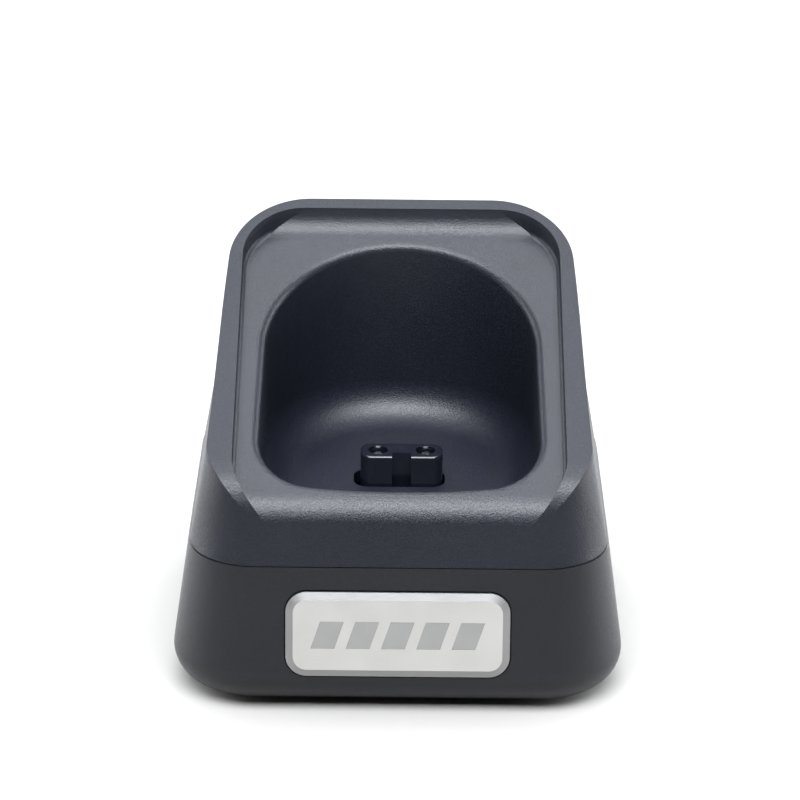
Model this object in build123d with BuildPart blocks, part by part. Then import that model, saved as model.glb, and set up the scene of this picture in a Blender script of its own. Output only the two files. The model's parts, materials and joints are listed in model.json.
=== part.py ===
"""Desktop charging stand for a hair clipper.

Frame: millimetres, +Z up, origin on the table under the centre of the square
footprint.  The front, with the badge, faces -Y; the power inlet faces +Y.
"""
import os
from math import atan, degrees, radians, tan

from build123d import *

os.makedirs("parts", exist_ok=True)

# ---------------------------------------------------------------- dimensions
# Case: a square, drafted body on four feet
foot_gap = 0.8            # underside of the case above the table
footprint = 73.5          # side of the drafted square, measured at table level
front_corner = 14.0       # plan corner radius at table level, front
back_corner = 22.0        # plan corner radius at table level, back
low_slope = 0.151         # inward lean of the lower shell, mm per mm of height
cavity_slope = 0.165      # inward lean of the upper shell's inside
bottom_round = 5.5        # rounding of the bottom outer edge
wall = 2.3
seam_low = 24.18          # top edge of the lower shell
seam_high = 24.3          # bottom edge of the upper shell

# Upper shell's outline: height, half width, front and back corner radius.  The
# walls lean in quickly above the seam and straighten out towards the rim.
outline = [
    (24.3, 32.95, 10.6, 18.2),
    (29.0, 32.1, 9.8, 17.5),
    (34.0, 31.2, 8.6, 16.8),
    (40.0, 30.2, 7.8, 15.9),
    (47.0, 29.4, 7.6, 14.9),
    (56.0, 28.5, 7.6, 13.6),
    (68.0, 27.4, 7.6, 12.0),
]

# Sloped top: rim plane z = rim_z0 + top_slope * y, dish plane parallel to it
top_slope = 0.445
rim_z0 = 50.8
dish_z0 = 47.6
nose_z = 37.0             # where the rim plane would meet the front wall
nose_y = -30.65
nose_round = 11.0         # roll of the rim into the front wall
front_foot_z = 30.0       # a point on the front wall below the roll
front_foot_y = -31.97
roll_round = 6.0          # roll of the dish into the front wall
scoop_round = 4.6         # concave sweep up to the back of the rim
dish_half_w = 26.1
dish_back = 25.4
dish_front = -31.85
dish_front_corner = 6.6
dish_back_corner = 10.0
cove = 0.8                # concave rounding at the foot of the rim
mouth_half_w = 17.2       # the dish runs out over the front between these

# Pocket that receives the clipper
pocket_half_w = 21.8
pocket_front = -26.75
pocket_splay = 0.5        # extra half width at the pocket's front
pocket_front_side = -24.9  # where the bowed front wall would meet the side walls
pocket_arch_y = 1.0       # centre of the half-ellipse that closes the back
pocket_arch_d = 20.1
pocket_corner = 9.0
pocket_lip = 1.5          # rounding of the pocket's upper edge
pocket_floor = 26.5
floor_round = 6.5
cup_wall = 2.1
cup_under = 24.5          # underside of the pocket floor

# Floating two-pole connector
conn_x = 0.35             # the connector rests a little to one side of its slot
conn_y = -4.5
conn_w = 13.3
conn_d = 5.6
conn_round = 1.9
conn_top = 31.5
pole_pitch = 7.7
pole_left = conn_x - pole_pitch / 2
pole_right = conn_x + pole_pitch / 2
pole_bore = 3.2
pin_d = 1.9
flange_w = 16.0
flange_d = 8.4
flange_low = 22.2
flange_high = 23.8
slot_w = 14.8
slot_d = 6.8

# Retainer under the connector
ret_w = 31.0
ret_d = 11.0
ret_low = 19.9
ret_high = 21.5
ret_screw_x = 12.5

# Base plate, feet, screws
plate_side = 56.0
plate_corner = 8.0
plate_low = 0.85
plate_high = 3.05
boss_x = 22.0
boss_y = 12.0
boss_r = 3.0
foot_xy = 21.0
foot_r = 5.0

# Ballast
bal_w = 37.0
bal_front = -24.0
bal_back = 11.0
bal_low = 3.15
bal_high = 8.15
bal_post_front = -19.0
bal_post_back = 6.0

# Circuit board and rear inlet
board_w = 32.0
board_front = 13.5
board_back = 31.0
board_low = 7.6
board_high = 9.2
board_post_x = 12.5
board_post_y = 17.0
inlet_z = 13.75
inlet_w = 18.0
inlet_h = 9.0
inlet_face = 34.2
inlet_mouth_w = 14.4
inlet_mouth_h = 6.4
inlet_depth = 8.0

# Badge on the front of the lower shell
badge_z = 13.6
badge_w = 35.0
badge_h = 13.75
badge_corner = 3.3
badge_bevel = 1.15
badge_proud = 0.75
badge_thick = 1.35

low_draft = degrees(atan(low_slope))
cavity_draft = degrees(atan(cavity_slope))


def low_side(z):
    """Side length of the lower shell's outer square at height z."""
    return footprint - 2 * low_slope * z


def square(z, side, front_r, back_r):
    """Square plan section at height z with its own front and back corner radii."""
    with BuildSketch(Plane.XY.offset(z)) as section:
        Rectangle(side, side)
        fillet(section.vertices().group_by(Axis.Y)[0], front_r)
        fillet(section.vertices().group_by(Axis.Y)[-1], back_r)
    return section.sketch


def pocket_plan(z, grow):
    """Plan of the clipper pocket at height z, enlarged all round by grow."""
    half = pocket_half_w + grow
    front_half = half + pocket_splay
    side_y = pocket_front_side - grow
    with BuildSketch(Plane.XY.offset(z)) as plan:
        with BuildLine():
            EllipticalCenterArc(
                (0, pocket_arch_y), half, pocket_arch_d + grow, start_angle=0, arc_size=180
            )
            Line((-half, pocket_arch_y), (-front_half, side_y))
            ThreePointArc((-front_half, side_y), (0, pocket_front - grow), (front_half, side_y))
            Line((front_half, side_y), (half, pocket_arch_y))
        make_face()
        fillet(plan.vertices().group_by(Axis.Y)[0], pocket_corner + grow)
    return plan.sketch


def corner_wedge(corner, first, second, radius):
    """Side-view area between a sharp corner and the arc that rounds it off.

    first and second are the directions in which the two sides leave the corner.
    """
    one = Vector(*first).normalized()
    two = Vector(*second).normalized()
    reach = radius / tan(radians(one.get_angle(two)) / 2)
    tip = Vector(*corner)
    with BuildSketch(Plane.YZ) as wedge:
        with BuildLine():
            Line(tip + one * reach, tip)
            Line(tip, tip + two * reach)
            TangentArc(tip + one * reach, tip + two * reach, tangent=one * -1)
        make_face()
    return wedge.sketch


dish_plane = Plane(
    origin=(0, 0, dish_z0), x_dir=(1, 0, 0), z_dir=(0, -top_slope, 1)
)
deck_under = Plane(
    origin=(0, 0, dish_z0 - 2.5), x_dir=(1, 0, 0), z_dir=(0, -top_slope, 1)
)

# ------------------------------------------------------------- cutting tools
# Clipper pocket with its rounded floor edge
with BuildPart() as pocket_void:
    extrude(pocket_plan(pocket_floor, 0), amount=45)
    fillet(pocket_void.edges().group_by(Axis.Z)[0], floor_round)

# Dish: a coved recess inside the rim that sweeps up at the back
dish_down = (-1, -top_slope)
with BuildPart() as dish_void:
    with BuildSketch(Plane.XY.offset(20)) as dish_plan:
        with Locations((0, (dish_back + dish_front) / 2)):
            Rectangle(2 * dish_half_w, dish_back - dish_front)
        fillet(dish_plan.vertices().group_by(Axis.Y)[0], dish_front_corner)
        fillet(dish_plan.vertices().group_by(Axis.Y)[-1], dish_back_corner)
    extrude(amount=60)
    split(bisect_by=dish_plane, keep=Keep.TOP)
    fillet(dish_void.faces().sort_by(Axis.Z)[0].edges(), cove)
    dish_foot = (dish_back, dish_z0 + top_slope * dish_back)
    extrude(
        corner_wedge(dish_foot, dish_down, (0, 1), scoop_round),
        amount=50,
        both=True,
        mode=Mode.SUBTRACT,
    )

# The dish's front: its floor rolls over into the front wall
roll_y = nose_y - 0.6
with BuildPart() as roll_void:
    with BuildSketch(Plane.YZ) as roll_profile:
        with BuildLine():
            Polyline(
                (-26, dish_z0 - 26 * top_slope),
                (roll_y, dish_z0 + roll_y * top_slope),
                (front_foot_y, front_foot_z),
                (-50, front_foot_z),
                (-50, 90),
                (-26, 90),
                close=True,
            )
        make_face()
        roll_edge = roll_profile.vertices().sort_by_distance((roll_y, 33.8, 0))[0]
        fillet(roll_edge, roll_round)
    extrude(amount=50, both=True)
    with BuildSketch(Plane.XY.offset(20)) as roll_plan:
        with Locations((0, (dish_back + dish_front) / 2)):
            Rectangle(2 * dish_half_w, dish_back - dish_front)
        fillet(roll_plan.vertices().group_by(Axis.Y)[0], dish_front_corner)
        with Locations((0, dish_front)):
            Rectangle(2 * mouth_half_w, 12)
    extrude(amount=80, mode=Mode.INTERSECT)

# Everything above the rim: sloped plane rolling over into the front wall
with BuildPart() as above_rim:
    with BuildSketch(Plane.YZ) as rim_profile:
        with BuildLine():
            Polyline(
                (nose_y, rim_z0 + top_slope * nose_y),
                (front_foot_y, front_foot_z),
                (-50, front_foot_z),
                (-50, 90),
                (50, 90),
                (50, rim_z0 + top_slope * 50),
                close=True,
            )
        make_face()
        nose = rim_profile.vertices().sort_by_distance((nose_y, nose_z, 0))[0]
        fillet(nose, nose_round)
    extrude(amount=50, both=True)

# Inside of the upper shell, leaving the cup around the pocket
with BuildPart() as upper_cavity:
    inner = 2 * (outline[0][1] - wall)
    extrude(square(seam_high, inner, 8.2, 16.0), amount=34, taper=cavity_draft)
    split(bisect_by=deck_under, keep=Keep.BOTTOM)
    extrude(pocket_plan(cup_under, cup_wall), amount=45, mode=Mode.SUBTRACT)

# --------------------------------------------------------------- upper shell
with BuildPart() as upper_shell:
    for height, half, front_r, back_r in outline:
        add(square(height, 2 * half, front_r, back_r))
    loft()
    add(above_rim.part, mode=Mode.SUBTRACT)
    add(dish_void.part, mode=Mode.SUBTRACT)
    add(upper_cavity.part, mode=Mode.SUBTRACT)
    add(pocket_void.part, mode=Mode.SUBTRACT)
    # soften the pocket's upper edge, then roll the dish over the front
    dish_floor = upper_shell.faces().filter_by(GeomType.PLANE).sort_by_distance((0, -25, 36.5))[0]
    fillet(dish_floor.inner_wires()[0].edges(), pocket_lip)
    add(roll_void.part, mode=Mode.SUBTRACT)
    # locating tongue that drops inside the lower shell
    extrude(square(22.0, low_side(22.0) - 2.66, 9.4, 17.4), amount=2.4, taper=low_draft)
    extrude(
        square(22.0, low_side(22.0) - 5.1, 8.2, 16.2),
        amount=2.4,
        taper=low_draft,
        mode=Mode.SUBTRACT,
    )
    # screw bosses under the pocket floor
    with BuildSketch(Plane.XY.offset(plate_high + 0.05)):
        with GridLocations(2 * boss_x, 2 * boss_y, 2, 2):
            Circle(boss_r)
    extrude(amount=cup_under + 0.5 - plate_high)
    with BuildSketch(Plane.XY.offset(plate_high + 0.05)):
        with GridLocations(2 * boss_x, 2 * boss_y, 2, 2):
            Circle(1.25)
    extrude(amount=9, mode=Mode.SUBTRACT)
    with BuildSketch(Plane.XY.offset(ret_high)):
        with Locations((-ret_screw_x, conn_y), (ret_screw_x, conn_y)):
            Circle(2.6)
    extrude(amount=cup_under - ret_high + 0.2)
    with BuildSketch(Plane.XY.offset(ret_high)):
        with Locations((-ret_screw_x, conn_y), (ret_screw_x, conn_y)):
            Circle(1.0)
    extrude(amount=3.2, mode=Mode.SUBTRACT)
    # slot in the pocket floor for the floating connector
    with BuildSketch(Plane.XY.offset(cup_under - 1)):
        with Locations((0, conn_y)):
            RectangleRounded(slot_w, slot_d, 2.4)
    extrude(amount=5, mode=Mode.SUBTRACT)
upper_shell.part.label = "upper_shell"
export_step(upper_shell.part, "parts/upper_shell.step")

# --------------------------------------------------------------- lower shell
badge_y = -footprint / 2 + low_slope * badge_z
badge_plane = Plane(
    origin=(0, badge_y, badge_z), x_dir=(1, 0, 0), z_dir=(0, -1, low_slope)
)
badge_seat = badge_plane.offset(badge_proud - badge_thick - 0.15)

with BuildPart() as lower_shell:
    extrude(
        square(
            foot_gap,
            low_side(foot_gap),
            front_corner - low_slope * foot_gap,
            back_corner - low_slope * foot_gap,
        ),
        amount=seam_low - foot_gap,
        taper=low_draft,
    )
    fillet(lower_shell.edges().group_by(Axis.Z)[0], bottom_round)
    # hollow, open at the top
    extrude(
        square(5.0, low_side(5.0) - 2 * wall, 11.0, 19.0),
        amount=seam_low,
        taper=low_draft,
        mode=Mode.SUBTRACT,
    )
    # rebate for the tongue of the upper shell
    extrude(
        square(21.9, low_side(21.9) - 2.36, 9.5, 17.5),
        amount=4,
        taper=low_draft,
        mode=Mode.SUBTRACT,
    )
    # bottom opening and the ledge that carries the base plate
    with BuildSketch(Plane.XY):
        RectangleRounded(plate_side - 4, plate_side - 4, plate_corner - 2)
    extrude(amount=8, mode=Mode.SUBTRACT)
    with BuildSketch(Plane.XY):
        RectangleRounded(plate_side + 0.4, plate_side + 0.4, plate_corner + 0.2)
    extrude(amount=plate_high + 0.1, mode=Mode.SUBTRACT)
    # shallow seat for the badge
    with BuildSketch(badge_seat):
        RectangleRounded(badge_w + 0.5, badge_h + 0.5, badge_corner + 0.25)
    extrude(amount=4, mode=Mode.SUBTRACT)
    # window for the rear inlet
    with BuildSketch(Plane.XZ.offset(-28)):
        with Locations((0, inlet_z)):
            RectangleRounded(inlet_w + 0.5, inlet_h + 0.5, 1.2)
    extrude(amount=-12, mode=Mode.SUBTRACT)
lower_shell.part.label = "lower_shell"
export_step(lower_shell.part, "parts/lower_shell.step")

# ---------------------------------------------------------------- base plate
with BuildPart() as base_plate:
    with BuildSketch(Plane.XY.offset(plate_low)):
        RectangleRounded(plate_side, plate_side, plate_corner)
    extrude(amount=plate_high - plate_low)
    # posts for the ballast and the circuit board
    with BuildSketch(Plane.XY.offset(plate_high - 0.5)):
        with Locations((0, bal_post_front), (0, bal_post_back)):
            Circle(3.2)
    extrude(amount=5.3)
    with BuildSketch(Plane.XY.offset(plate_high - 0.5)):
        with Locations((-board_post_x, board_post_y), (board_post_x, board_post_y)):
            Circle(2.6)
    extrude(amount=board_low - plate_high + 0.45)
    with BuildSketch(Plane.XY.offset(plate_high)):
        with Locations((0, bal_post_front), (0, bal_post_back)):
            Circle(1.25)
        with Locations((-board_post_x, board_post_y), (board_post_x, board_post_y)):
            Circle(1.05)
    extrude(amount=8, mode=Mode.SUBTRACT)
    # recesses for the feet
    with BuildSketch(Plane.XY):
        with GridLocations(2 * foot_xy, 2 * foot_xy, 2, 2):
            Circle(foot_r + 0.1)
    extrude(amount=1.65, mode=Mode.SUBTRACT)
    # clearance holes and counterbores for the case screws
    with BuildSketch(Plane.XY):
        with GridLocations(2 * boss_x, 2 * boss_y, 2, 2):
            Circle(1.7)
    extrude(amount=5, mode=Mode.SUBTRACT)
    with BuildSketch(Plane.XY):
        with GridLocations(2 * boss_x, 2 * boss_y, 2, 2):
            Circle(3.1)
    extrude(amount=1.95, mode=Mode.SUBTRACT)
base_plate.part.label = "base_plate"
export_step(base_plate.part, "parts/base_plate.step")

# --------------------------------------------------------------------- feet
feet = {
    "foot_front_left": (-foot_xy, -foot_xy),
    "foot_front_right": (foot_xy, -foot_xy),
    "foot_rear_left": (-foot_xy, foot_xy),
    "foot_rear_right": (foot_xy, foot_xy),
}
for foot_name, (foot_x, foot_y) in feet.items():
    with BuildPart() as foot:
        with BuildSketch():
            with Locations((foot_x, foot_y)):
                Circle(foot_r)
        extrude(amount=1.6)
        fillet(foot.edges().group_by(Axis.Z)[0], 0.4)
    foot.part.label = foot_name
    export_step(foot.part, "parts/" + foot_name + ".step")

# ------------------------------------------------------------- case screws
with BuildPart() as case_screws:
    with BuildSketch(Plane.XY.offset(0.9)):
        with GridLocations(2 * boss_x, 2 * boss_y, 2, 2):
            Circle(2.9)
    extrude(amount=1.0)
    with BuildSketch(Plane.XY.offset(1.5)):
        with GridLocations(2 * boss_x, 2 * boss_y, 2, 2):
            Circle(1.23)
    extrude(amount=9.5)
    with BuildSketch(Plane.XY.offset(0.85)):
        with GridLocations(2 * boss_x, 2 * boss_y, 2, 2):
            Rectangle(2.9, 0.6)
            Rectangle(0.6, 2.9)
    extrude(amount=0.6, mode=Mode.SUBTRACT)
case_screws.part.label = "case_screws"
export_step(case_screws.part, "parts/case_screws.step")

# ------------------------------------------------------------------ ballast
with BuildPart() as ballast_plate:
    with BuildSketch(Plane.XY.offset(bal_low)):
        with Locations((0, (bal_front + bal_back) / 2)):
            RectangleRounded(bal_w, bal_back - bal_front, 2.0)
        with Locations((0, bal_post_front), (0, bal_post_back)):
            Circle(3.7, mode=Mode.SUBTRACT)
    extrude(amount=bal_high - bal_low)
    chamfer(ballast_plate.edges().group_by(Axis.Z)[-1].filter_by(GeomType.LINE), 0.5)
ballast_plate.part.label = "ballast_plate"
export_step(ballast_plate.part, "parts/ballast_plate.step")

with BuildPart() as ballast_screws:
    with BuildSketch(Plane.XY.offset(bal_high + 0.03)):
        with Locations((0, bal_post_front), (0, bal_post_back)):
            Circle(4.5)
    extrude(amount=0.8)
    with BuildSketch(Plane.XY.offset(bal_high + 0.5)):
        with Locations((0, bal_post_front), (0, bal_post_back)):
            Circle(2.7)
    extrude(amount=1.9)
    with BuildSketch(Plane.XY.offset(4.0)):
        with Locations((0, bal_post_front), (0, bal_post_back)):
            Circle(1.23)
    extrude(amount=5)
    with BuildSketch(Plane.XY.offset(bal_high + 1.6)):
        with Locations((0, bal_post_front), (0, bal_post_back)):
            Rectangle(2.9, 0.6)
            Rectangle(0.6, 2.9)
    extrude(amount=2, mode=Mode.SUBTRACT)
ballast_screws.part.label = "ballast_screws"
export_step(ballast_screws.part, "parts/ballast_screws.step")

# -------------------------------------------------------------------- badge
badge_back = badge_plane.offset(badge_proud - badge_thick)
badge_face = badge_plane.offset(badge_proud)
bar_pitch = 5.5
bar_depth = 0.25


def charge_bars(shrink):
    """Five slanted bars across the badge, each drawn in by shrink all round."""
    half_h = 2.2 - shrink
    half_w = 1.85 - shrink
    lean = 0.75
    with BuildSketch(badge_face.offset(-bar_depth)) as bars:
        with GridLocations(bar_pitch, 1, 5, 1):
            Polygon(
                (lean - half_w, half_h),
                (lean + half_w, half_h),
                (half_w - lean, -half_h),
                (-lean - half_w, -half_h),
                align=None,
            )
    return bars.sketch


with BuildPart() as badge_plate:
    with BuildSketch(badge_back):
        RectangleRounded(badge_w, badge_h, badge_corner)
    extrude(amount=badge_thick - 0.45)
    with BuildSketch(badge_back.offset(badge_thick - 0.45)):
        RectangleRounded(badge_w, badge_h, badge_corner)
    with BuildSketch(badge_face):
        RectangleRounded(
            badge_w - 2 * badge_bevel, badge_h - 2 * badge_bevel, badge_corner - badge_bevel
        )
    loft()
    extrude(charge_bars(0), amount=1, mode=Mode.SUBTRACT)
badge_plate.part.label = "badge_plate"
export_step(badge_plate.part, "parts/badge_plate.step")

with BuildPart() as badge_symbol:
    extrude(charge_bars(0.02), amount=bar_depth - 0.01)
badge_symbol.part.label = "badge_symbol"
export_step(badge_symbol.part, "parts/badge_symbol.step")

with BuildPart() as badge_adhesive:
    with BuildSketch(badge_seat.offset(0.01)):
        RectangleRounded(badge_w - 2, badge_h - 2, badge_corner - 1)
    extrude(amount=0.13)
badge_adhesive.part.label = "badge_adhesive"
export_step(badge_adhesive.part, "parts/badge_adhesive.step")

# ------------------------------------------------- floating connector (moves)
with BuildPart() as connector_body:
    with BuildSketch(Plane.XY.offset(flange_low)):
        with Locations((conn_x, conn_y)):
            RectangleRounded(flange_w, flange_d, 1.5)
    extrude(amount=flange_high - flange_low)
    with BuildSketch(Plane.XY.offset(flange_low)):
        with Locations((conn_x, conn_y)):
            RectangleRounded(conn_w, conn_d, conn_round)
    extrude(amount=conn_top - flange_low)
    fillet(connector_body.edges().group_by(Axis.Z)[-1], 0.35)
    # polarising groove down the front face
    with BuildSketch(Plane.XY.offset(flange_high)):
        with Locations((conn_x, conn_y - conn_d / 2)):
            Rectangle(3.1, 3.4)
    extrude(amount=12, mode=Mode.SUBTRACT)
    # bores for the contact pins
    with BuildSketch(Plane.XY.offset(flange_low)):
        with Locations((pole_left, conn_y), (pole_right, conn_y)):
            Circle(pole_bore / 2)
    extrude(amount=12, mode=Mode.SUBTRACT)
connector_body.part.label = "connector_body"
export_step(connector_body.part, "parts/connector_body.step")

for contact_name, contact_x in (
    ("contact_left", pole_left),
    ("contact_right", pole_right),
):
    with BuildPart() as contact:
        # shoulder that fills the bore, pin above it and solder tail below
        with BuildSketch(Plane.XY.offset(flange_low + 0.4)):
            with Locations((contact_x, conn_y)):
                Circle(pole_bore / 2 - 0.02)
        extrude(amount=3.0)
        with BuildSketch(Plane.XY.offset(flange_low + 2.0)):
            with Locations((contact_x, conn_y)):
                Circle(pin_d / 2)
        extrude(amount=conn_top - 0.5 - flange_low - 2.0)
        fillet(contact.edges().group_by(Axis.Z)[-1], 0.5)
        with BuildSketch(Plane.XY.offset(17.8)):
            with Locations((contact_x, conn_y)):
                Circle(0.75)
        extrude(amount=5.5)
    contact.part.label = contact_name
    export_step(contact.part, "parts/" + contact_name + ".step")

# ---------------------------------------------------------------- retainer
with BuildPart() as connector_retainer:
    with BuildSketch(Plane.XY.offset(ret_low)):
        with Locations((0, conn_y)):
            RectangleRounded(ret_w, ret_d, 2.5)
        with Locations((pole_left, conn_y), (pole_right, conn_y)):
            RectangleRounded(3.8, 4.4, 0.8, mode=Mode.SUBTRACT)
        with Locations((-ret_screw_x, conn_y), (ret_screw_x, conn_y)):
            Circle(1.35, mode=Mode.SUBTRACT)
    extrude(amount=ret_high - 0.04 - ret_low)
    # rounded ridge on which the connector flange rocks
    with BuildSketch(Plane.XZ.offset(-conn_y)):
        with Locations((conn_x, flange_low - 0.05 - 1.2)):
            Circle(1.2)
    extrude(amount=3.2, both=True)
    split(bisect_by=Plane.XY.offset(ret_low), keep=Keep.TOP)
connector_retainer.part.label = "connector_retainer"
export_step(connector_retainer.part, "parts/connector_retainer.step")

with BuildPart() as retainer_screws:
    with BuildSketch(Plane.XY.offset(ret_low - 1.5)):
        with Locations((-ret_screw_x, conn_y), (ret_screw_x, conn_y)):
            Circle(2.2)
    extrude(amount=1.47)
    with BuildSketch(Plane.XY.offset(ret_low - 0.5)):
        with Locations((-ret_screw_x, conn_y), (ret_screw_x, conn_y)):
            Circle(0.98)
    extrude(amount=4.9)
    with BuildSketch(Plane.XY.offset(ret_low - 1.6)):
        with Locations((-ret_screw_x, conn_y), (ret_screw_x, conn_y)):
            Rectangle(2.4, 0.5)
            Rectangle(0.5, 2.4)
    extrude(amount=0.8, mode=Mode.SUBTRACT)
retainer_screws.part.label = "retainer_screws"
export_step(retainer_screws.part, "parts/retainer_screws.step")

# ------------------------------------------------------------ circuit board
pad_x = 7.0
pad_y = 15.6
tail_y = 19.6

with BuildPart() as circuit_board:
    with BuildSketch(Plane.XY.offset(board_low)):
        with Locations((0, (board_front + board_back) / 2)):
            RectangleRounded(board_w, board_back - board_front, 1.5)
        with Locations((-board_post_x, board_post_y), (board_post_x, board_post_y)):
            Circle(1.3, mode=Mode.SUBTRACT)
        with Locations((-pad_x, pad_y), (pad_x, pad_y)):
            Circle(0.85, mode=Mode.SUBTRACT)
        with Locations((-pole_pitch / 2, tail_y), (pole_pitch / 2, tail_y)):
            Circle(0.75, mode=Mode.SUBTRACT)
    extrude(amount=board_high - board_low)
circuit_board.part.label = "circuit_board"
export_step(circuit_board.part, "parts/circuit_board.step")

with BuildPart() as board_screws:
    with BuildSketch(Plane.XY.offset(board_high + 0.03)):
        with Locations((-board_post_x, board_post_y), (board_post_x, board_post_y)):
            Circle(2.2)
    extrude(amount=1.4)
    with BuildSketch(Plane.XY.offset(4.2)):
        with Locations((-board_post_x, board_post_y), (board_post_x, board_post_y)):
            Circle(1.03)
    extrude(amount=5.5)
    with BuildSketch(Plane.XY.offset(board_high + 0.8)):
        with Locations((-board_post_x, board_post_y), (board_post_x, board_post_y)):
            Rectangle(2.4, 0.5)
            Rectangle(0.5, 2.4)
    extrude(amount=2, mode=Mode.SUBTRACT)
board_screws.part.label = "board_screws"
export_step(board_screws.part, "parts/board_screws.step")

with BuildPart() as protection_diode:
    with BuildSketch(Plane.XY.offset(board_high + 0.25)):
        with Locations((0, 16.3)):
            Rectangle(4.3, 2.6)
    extrude(amount=2.0, taper=4)
    with BuildSketch(Plane.XY.offset(board_high + 0.02)):
        with Locations((0, 16.3)):
            Rectangle(5.4, 1.5)
    extrude(amount=1.0)
protection_diode.part.label = "protection_diode"
export_step(protection_diode.part, "parts/protection_diode.step")

# -------------------------------------------------------------- rear inlet
inlet_rear = 21.2
with BuildPart() as inlet_housing:
    with BuildSketch(Plane.XZ.offset(-inlet_rear)):
        with Locations((0, inlet_z + 0.03)):
            RectangleRounded(inlet_w, inlet_h, 1.0)
    extrude(amount=inlet_rear - inlet_face)
    with BuildSketch(Plane.XZ.offset(-(inlet_face - inlet_depth))):
        with Locations((0, inlet_z)):
            RectangleRounded(inlet_mouth_w, inlet_mouth_h, 2.4)
        with Locations((0, inlet_z + inlet_mouth_h / 2)):
            Rectangle(2.6, 3.0, mode=Mode.SUBTRACT)
    extrude(amount=-20, mode=Mode.SUBTRACT)
    with BuildSketch(Plane.XZ.offset(-20)):
        with Locations((-pole_pitch / 2, inlet_z), (pole_pitch / 2, inlet_z)):
            Circle(1.02)
    extrude(amount=-8, mode=Mode.SUBTRACT)
inlet_housing.part.label = "inlet_housing"
export_step(inlet_housing.part, "parts/inlet_housing.step")

for pin_name, pin_x in (("inlet_pin_left", -pole_pitch / 2), ("inlet_pin_right", pole_pitch / 2)):
    with BuildPart() as pin:
        with BuildSketch(Plane.XZ.offset(-(tail_y - 0.6))):
            with Locations((pin_x, inlet_z)):
                Circle(1.0)
        extrude(amount=-(32.6 - tail_y + 0.6))
        chamfer(pin.edges().group_by(Axis.Y)[-1], 0.4)
        with BuildSketch(Plane.XY.offset(board_low - 0.8)):
            with Locations((pin_x, tail_y)):
                Circle(0.6)
        extrude(amount=inlet_z - board_low + 0.8)
    pin.part.label = pin_name
    export_step(pin.part, "parts/" + pin_name + ".step")

# ------------------------------------------------------------ internal leads
for lead_name, lead_side in (("lead_red", 1), ("lead_black", -1)):
    with BuildPart() as lead:
        with BuildLine():
            Bezier(
                (lead_side * pad_x, pad_y, board_low + 0.2),
                (lead_side * pad_x, pad_y, 17.0),
                (conn_x + lead_side * pole_pitch / 2, conn_y, 9.0),
                (conn_x + lead_side * pole_pitch / 2, conn_y, 17.1),
            )
        with BuildSketch(Plane((lead_side * pad_x, pad_y, board_low + 0.2))):
            Circle(0.7)
        sweep()
    lead.part.label = lead_name
    export_step(lead.part, "parts/" + lead_name + ".step")
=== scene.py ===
"""Charging stand for a hair clipper: finishes, studio light and camera.

Everything is in metres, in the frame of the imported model.  The CAD solids keep
their shape; this script gives each of them its finish.
"""
import json
import math

import bpy
from mathutils import Matrix, Vector


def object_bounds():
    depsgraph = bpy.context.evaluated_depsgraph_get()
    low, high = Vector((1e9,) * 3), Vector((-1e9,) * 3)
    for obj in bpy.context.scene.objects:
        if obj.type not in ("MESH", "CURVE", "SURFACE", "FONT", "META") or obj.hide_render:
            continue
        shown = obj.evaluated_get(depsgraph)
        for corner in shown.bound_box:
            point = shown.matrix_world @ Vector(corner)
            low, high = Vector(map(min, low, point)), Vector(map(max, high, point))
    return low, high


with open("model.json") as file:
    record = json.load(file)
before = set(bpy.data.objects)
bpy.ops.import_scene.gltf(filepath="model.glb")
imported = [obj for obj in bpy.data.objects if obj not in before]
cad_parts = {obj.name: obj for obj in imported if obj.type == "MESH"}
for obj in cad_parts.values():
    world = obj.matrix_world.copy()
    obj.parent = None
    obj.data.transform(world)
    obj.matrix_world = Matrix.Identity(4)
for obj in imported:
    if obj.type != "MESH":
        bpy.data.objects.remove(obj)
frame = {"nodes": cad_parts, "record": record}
cad_lo, cad_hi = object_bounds()

MM = 0.001

# The top of the stand climbs towards the back.  The height at which a slope like
# it, through a point, crosses the middle tells the dish from the rim round it.
TOP_SLOPE = 0.445
DISH_EDGE = 49.6 * MM
RIM_FOOT = 50.4 * MM

# The way the badge's flat face looks, leaning back with the front wall
BADGE_FACING = (0.0, -0.9888, 0.1493)

# Sockets of a colour Mix node, by number because its other types repeat their names
MIX_FACTOR, MIX_FIRST, MIX_SECOND, MIX_RESULT = 0, 6, 7, 2


# ------------------------------------------------------------ node helpers
def times(colour, factor):
    """A colour made lighter or darker by a factor."""
    return tuple(factor * channel for channel in colour)


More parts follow.
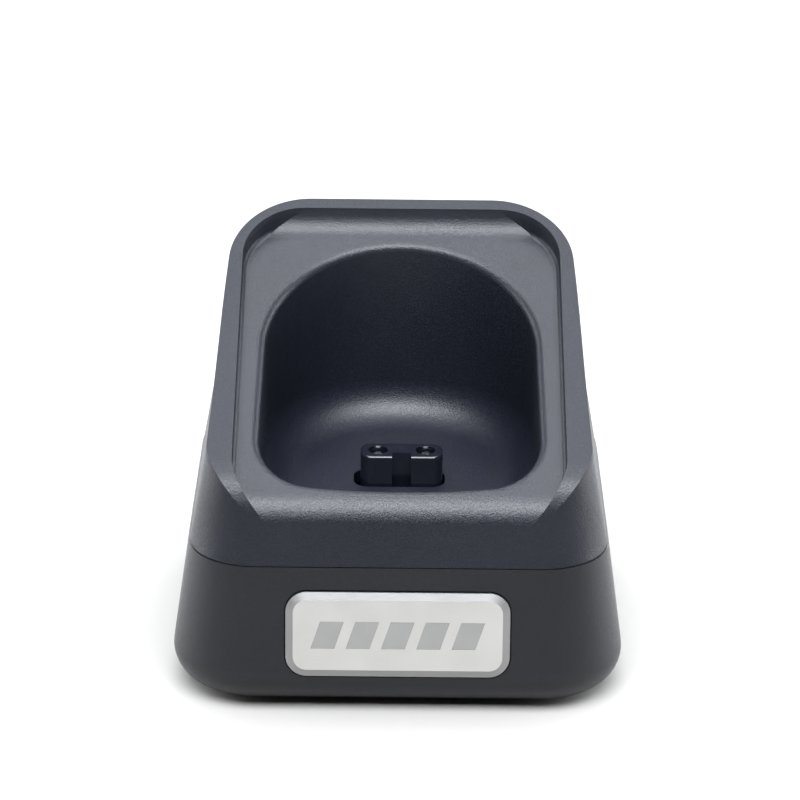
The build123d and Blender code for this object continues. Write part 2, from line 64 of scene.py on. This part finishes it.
class Finish:
    """A material built round one Principled shader, in object coordinates."""

    def __init__(self, name, **settings):
        self.material = bpy.data.materials.new(name)
        self.material.use_nodes = True
        self.tree = self.material.node_tree
        self.shader = self.tree.nodes["Principled BSDF"]
        for socket, value in settings.items():
            self.shader.inputs[socket].default_value = value
        coordinates = self.tree.nodes.new("ShaderNodeTexCoord")
        self.place = coordinates.outputs["Object"]
        self.normal = coordinates.outputs["Normal"]

    def link(self, source, target):
        self.tree.links.new(source, target)

    def stretched(self, factors):
        """Object coordinates, scaled along each axis."""
        mapping = self.tree.nodes.new("ShaderNodeMapping")
        mapping.inputs["Scale"].default_value = factors
        self.link(self.place, mapping.inputs["Vector"])
        return mapping.outputs["Vector"]

    def noise(self, size, detail=2.0, rough=0.5, place=None):
        """Noise whose features are about `size` metres across."""
        node = self.tree.nodes.new("ShaderNodeTexNoise")
        node.inputs["Scale"].default_value = 1 / size
        node.inputs["Detail"].default_value = detail
        node.inputs["Roughness"].default_value = rough
        self.link(place or self.place, node.inputs["Vector"])
        return node.outputs["Fac"]

    def remap(self, value, low, high, to_low, to_high):
        """A value's range from `low` to `high` carried over to another range, and held there."""
        node = self.tree.nodes.new("ShaderNodeMapRange")
        node.inputs["From Min"].default_value = low
        node.inputs["From Max"].default_value = high
        node.inputs["To Min"].default_value = to_low
        node.inputs["To Max"].default_value = to_high
        self.link(value, node.inputs["Value"])
        return node.outputs["Result"]

    def spread(self, noise, to_low, to_high):
        """Noise, which lies mostly between 0.3 and 0.7, spread over a range."""
        return self.remap(noise, 0.3, 0.7, to_low, to_high)

    def total(self, first, second):
        """Two values added."""
        node = self.tree.nodes.new("ShaderNodeMath")
        node.operation = "ADD"
        self.link(first, node.inputs[0])
        self.link(second, node.inputs[1])
        return node.outputs["Value"]

    def along(self, vector, direction):
        """How far a vector socket reaches along a direction."""
        node = self.tree.nodes.new("ShaderNodeVectorMath")
        node.operation = "DOT_PRODUCT"
        node.inputs[1].default_value = direction
        self.link(vector, node.inputs[0])
        return node.outputs["Value"]

    def mixed(self, factor, first, second):
        """Colour between two colours, each given as a tuple or a socket."""
        node = self.tree.nodes.new("ShaderNodeMix")
        node.data_type = "RGBA"
        self.link(factor, node.inputs[MIX_FACTOR])
        for index, colour in ((MIX_FIRST, first), (MIX_SECOND, second)):
            if isinstance(colour, tuple):
                node.inputs[index].default_value = (*colour, 1.0)
            else:
                self.link(colour, node.inputs[index])
        return node.outputs[MIX_RESULT]

    def colour(self, source):
        self.link(source, self.shader.inputs["Base Color"])

    def roughness(self, source):
        self.link(source, self.shader.inputs["Roughness"])

    def bump(self, height, distance, under=None):
        """Adds relief `distance` metres high; `under` is an earlier bump."""
        node = self.tree.nodes.new("ShaderNodeBump")
        node.inputs["Strength"].default_value = 1.0
        node.inputs["Distance"].default_value = distance
        self.link(height, node.inputs["Height"])
        if under is not None:
            self.link(under, node.inputs["Normal"])
        self.link(node.outputs["Normal"], self.shader.inputs["Normal"])
        return node.outputs["Normal"]


# --------------------------------------------------------------- materials
def grained_plastic(name, dark, light, grain, relief, roughness):
    """Moulded ABS with a spark-eroded grain, duller on the rim round the dish, with painted
    glints on the tips of the grain.
    """
    finish = Finish(name, IOR=1.42)
    fine = finish.noise(grain, detail=3.0, rough=0.6)
    coarse = finish.noise(4.5 * grain)
    cloud = finish.noise(14 * MM)
    blotch = finish.mixed(finish.spread(cloud, 0.0, 1.0), dark, light)
    # painted glints: the tips of the highest grains are painted paler than the skin round them,
    # where light would catch the grain
    glint_tips = finish.remap(fine, 0.60, 0.76, 0.0, 0.5)
    finish.colour(finish.mixed(glint_tips, blotch, times(light, 3.0)))
    skin = finish.remap(fine, 0.35, 0.65, *roughness)
    height = finish.along(finish.place, (0.0, -TOP_SLOPE, 1.0))
    rim = finish.remap(height, DISH_EDGE, RIM_FOOT, 0.0, 0.2)
    finish.roughness(finish.total(skin, rim))
    rough_skin = finish.bump(coarse, 0.6 * relief)
    finish.bump(fine, relief, under=rough_skin)
    return finish.material


def gloss_plastic(name, colour, roughness):
    """Polished moulding with faint flow marks."""
    finish = Finish(name, IOR=1.55)
    flow = finish.noise(3 * MM)
    fine = finish.noise(0.15 * MM)
    finish.colour(finish.mixed(flow, colour, times(colour, 1.5)))
    finish.roughness(finish.spread(flow, 0.8 * roughness, 1.25 * roughness))
    finish.bump(fine, 0.001 * MM)
    return finish.material


def satin_silver(name, dark, light, shaded_bevel):
    """Silver foil-stamped badge with a fine satin brushing, and painted shade on its chamfered
    edge.
    """
    finish = Finish(name, Metallic=0.85)
    brushed = finish.noise(0.12 * MM, place=finish.stretched((0.06, 1.0, 1.0)))
    cloud = finish.noise(9 * MM)
    tone = finish.mixed(finish.spread(cloud, 0.0, 1.0), dark, light)
    # painted shade: faces not turned like the flat front take the dark chamfer colour
    flat = finish.remap(finish.along(finish.normal, BADGE_FACING), 0.90, 0.985, 0.0, 1.0)
    finish.colour(finish.mixed(flat, shaded_bevel, tone))
    finish.roughness(finish.spread(brushed, 0.40, 0.52))
    finish.bump(brushed, 0.004 * MM)
    return finish.material


def printed_grey(name, dark, light):
    """Grey satin print in the badge's recess."""
    finish = Finish(name)
    speck = finish.noise(0.2 * MM, detail=3.0)
    cloud = finish.noise(4 * MM)
    finish.colour(finish.mixed(cloud, dark, light))
    finish.roughness(finish.spread(speck, 0.42, 0.55))
    finish.bump(speck, 0.004 * MM)
    return finish.material


def plated_metal(name, dark, light, roughness):
    """Plated metal, slightly uneven."""
    finish = Finish(name, Metallic=1.0)
    cloud = finish.noise(1.5 * MM, detail=3.0)
    fine = finish.noise(0.1 * MM)
    finish.colour(finish.mixed(cloud, dark, light))
    finish.roughness(finish.spread(cloud, 0.8 * roughness, 1.3 * roughness))
    finish.bump(fine, 0.002 * MM)
    return finish.material


def soft_polymer(name, colour, roughness, grain):
    """Rubber, film or cable insulation."""
    finish = Finish(name, IOR=1.5)
    fine = finish.noise(grain)
    cloud = finish.noise(25 * grain)
    finish.colour(finish.mixed(cloud, colour, times(colour, 1.35)))
    finish.roughness(finish.spread(fine, 0.9 * roughness, 1.1 * roughness))
    finish.bump(fine, 0.01 * MM)
    return finish.material


def circuit_laminate(name, dark, light):
    """Green solder mask over a woven glass core."""
    finish = Finish(name, IOR=1.5)
    weave = finish.noise(0.5 * MM, place=finish.stretched((1.0, 0.25, 1.0)))
    finish.colour(finish.mixed(weave, dark, light))
    finish.roughness(finish.spread(weave, 0.28, 0.4))
    finish.bump(weave, 0.01 * MM)
    return finish.material


finishes = {
    "upper_plastic": grained_plastic(
        "upper_plastic",
        dark=(0.0042, 0.0048, 0.0092),
        light=(0.0056, 0.0064, 0.0118),
        grain=0.26 * MM,
        relief=0.060 * MM,
        roughness=(0.31, 0.49),
    ),
    "lower_plastic": grained_plastic(
        "lower_plastic",
        dark=(0.0042, 0.0046, 0.0064),
        light=(0.0056, 0.0060, 0.0082),
        grain=0.26 * MM,
        relief=0.030 * MM,
        roughness=(0.33, 0.47),
    ),
    "base_plastic": grained_plastic(
        "base_plastic",
        dark=(0.0120, 0.0125, 0.0150),
        light=(0.0160, 0.0165, 0.0190),
        grain=0.25 * MM,
        relief=0.02 * MM,
        roughness=(0.5, 0.6),
    ),
    "retainer_plastic": grained_plastic(
        "retainer_plastic",
        dark=(0.022, 0.022, 0.024),
        light=(0.028, 0.028, 0.030),
        grain=0.25 * MM,
        relief=0.01 * MM,
        roughness=(0.45, 0.55),
    ),
    "connector_plastic": gloss_plastic("connector_plastic", (0.0035, 0.0040, 0.0075), 0.20),
    "inlet_plastic": gloss_plastic("inlet_plastic", (0.010, 0.010, 0.012), 0.30),
    "diode_epoxy": gloss_plastic("diode_epoxy", (0.012, 0.012, 0.013), 0.35),
    "badge_silver": satin_silver(
        "badge_silver",
        dark=(0.530, 0.520, 0.505),
        light=(0.58, 0.57, 0.555),
        # painted shade for the chamfered edge, darker than the silver face
        shaded_bevel=(0.12, 0.12, 0.125),
    ),
    "badge_grey": printed_grey(
        "badge_grey", dark=(0.175, 0.17, 0.165), light=(0.215, 0.21, 0.205)
    ),
    "badge_adhesive": soft_polymer("badge_adhesive", (0.55, 0.55, 0.50), 0.5, 0.3 * MM),
    "screw_steel": plated_metal("screw_steel", (0.56, 0.56, 0.57), (0.66, 0.66, 0.67), 0.28),
    "ballast_steel": plated_metal("ballast_steel", (0.46, 0.47, 0.48), (0.56, 0.57, 0.58), 0.36),
    "contact_metal": plated_metal("contact_metal", (0.72, 0.70, 0.66), (0.82, 0.80, 0.76), 0.16),
    "foot_rubber": soft_polymer("foot_rubber", (0.014, 0.014, 0.014), 0.75, 0.2 * MM),
    "lead_red": soft_polymer("lead_red", (0.42, 0.02, 0.015), 0.42, 0.2 * MM),
    "lead_black": soft_polymer("lead_black", (0.012, 0.012, 0.012), 0.42, 0.2 * MM),
    "board_laminate": circuit_laminate(
        "board_laminate", dark=(0.02, 0.12, 0.045), light=(0.03, 0.17, 0.06)
    ),
}

for entry in frame["record"]["subparts"]:
    node = frame["nodes"][entry["node"]]
    material = finishes[entry["material_slot"]]
    if not node.material_slots:
        node.data.materials.append(material)
    for slot in node.material_slots:
        slot.material = material


# ------------------------------------------------------------------- floor
def pale_floor(half_side):
    """A plain pale sheet under the stand."""
    mesh = bpy.data.meshes.new("floor")
    corners = [(-half_side, -half_side, 0), (half_side, -half_side, 0)]
    corners += [(half_side, half_side, 0), (-half_side, half_side, 0)]
    mesh.from_pydata(corners, [], [(0, 1, 2, 3)])
    floor = bpy.data.objects.new("floor", mesh)
    bpy.context.scene.collection.objects.link(floor)
    finish = Finish("floor_paper", IOR=1.3)
    fibre = finish.noise(2 * MM)
    finish.colour(finish.mixed(fibre, (0.282, 0.270, 0.260), (0.300, 0.288, 0.278)))
    finish.roughness(finish.spread(fibre, 0.85, 0.95))
    mesh.materials.append(finish.material)


pale_floor(3.0)


# ------------------------------------------------------------------ lights
def softbox(name, place, width, height, power):
    """A rectangular area light at `place`, facing the middle of the stand."""
    light = bpy.data.lights.new(name, "AREA")
    light.shape = "RECTANGLE"
    light.size = width
    light.size_y = height
    light.energy = power
    light.color = (0.92, 0.96, 1.0)
    box = bpy.data.objects.new(name, light)
    box.location = place
    box.rotation_mode = "QUATERNION"
    middle = (cad_lo + cad_hi) / 2
    box.rotation_quaternion = (middle - Vector(place)).to_track_quat("-Z", "Y")
    bpy.context.scene.collection.objects.link(box)


def studio_world(strength):
    """Faint white light from everywhere, and colours shown as they are."""
    world = bpy.data.worlds.new("studio")
    world.use_nodes = True
    background = world.node_tree.nodes["Background"]
    background.inputs["Color"].default_value = (1.0, 1.0, 1.0, 1.0)
    background.inputs["Strength"].default_value = strength
    bpy.context.scene.world = world
    bpy.context.scene.view_settings.view_transform = "Standard"


softbox("key_front", (0.0, -0.38, 0.82), width=0.95, height=0.55, power=31.0)
softbox("fill_top", (0.0, 0.30, 0.85), width=0.60, height=0.45, power=6.6)
softbox("side_left", (-0.62, 0.30, 0.20), width=0.8, height=0.36, power=10.0)
softbox("side_right", (0.62, 0.30, 0.20), width=0.8, height=0.36, power=12.0)
softbox("backdrop", (0.0, 1.30, 0.45), width=2.0, height=0.8, power=30.0)
studio_world(0.06)


# ------------------------------------------------------------------ camera
def studio_camera(place, pitch_down, roll, lens):
    """Camera at `place`, looking along +Y, pitched down and rolled, in degrees."""
    camera = bpy.data.cameras.new("camera")
    camera.lens = lens
    camera.sensor_width = 36.0
    camera.clip_start = 0.01
    holder = bpy.data.objects.new("camera", camera)
    pitched = Matrix.Rotation(math.radians(90 - pitch_down), 4, "X")
    rolled = Matrix.Rotation(math.radians(roll), 4, "Z")
    holder.matrix_world = Matrix.Translation(place) @ pitched @ rolled
    bpy.context.scene.collection.objects.link(holder)
    bpy.context.scene.camera = holder


studio_camera((0.0, -0.5024, 0.2560), pitch_down=23.42, roll=0.56, lens=151.7)
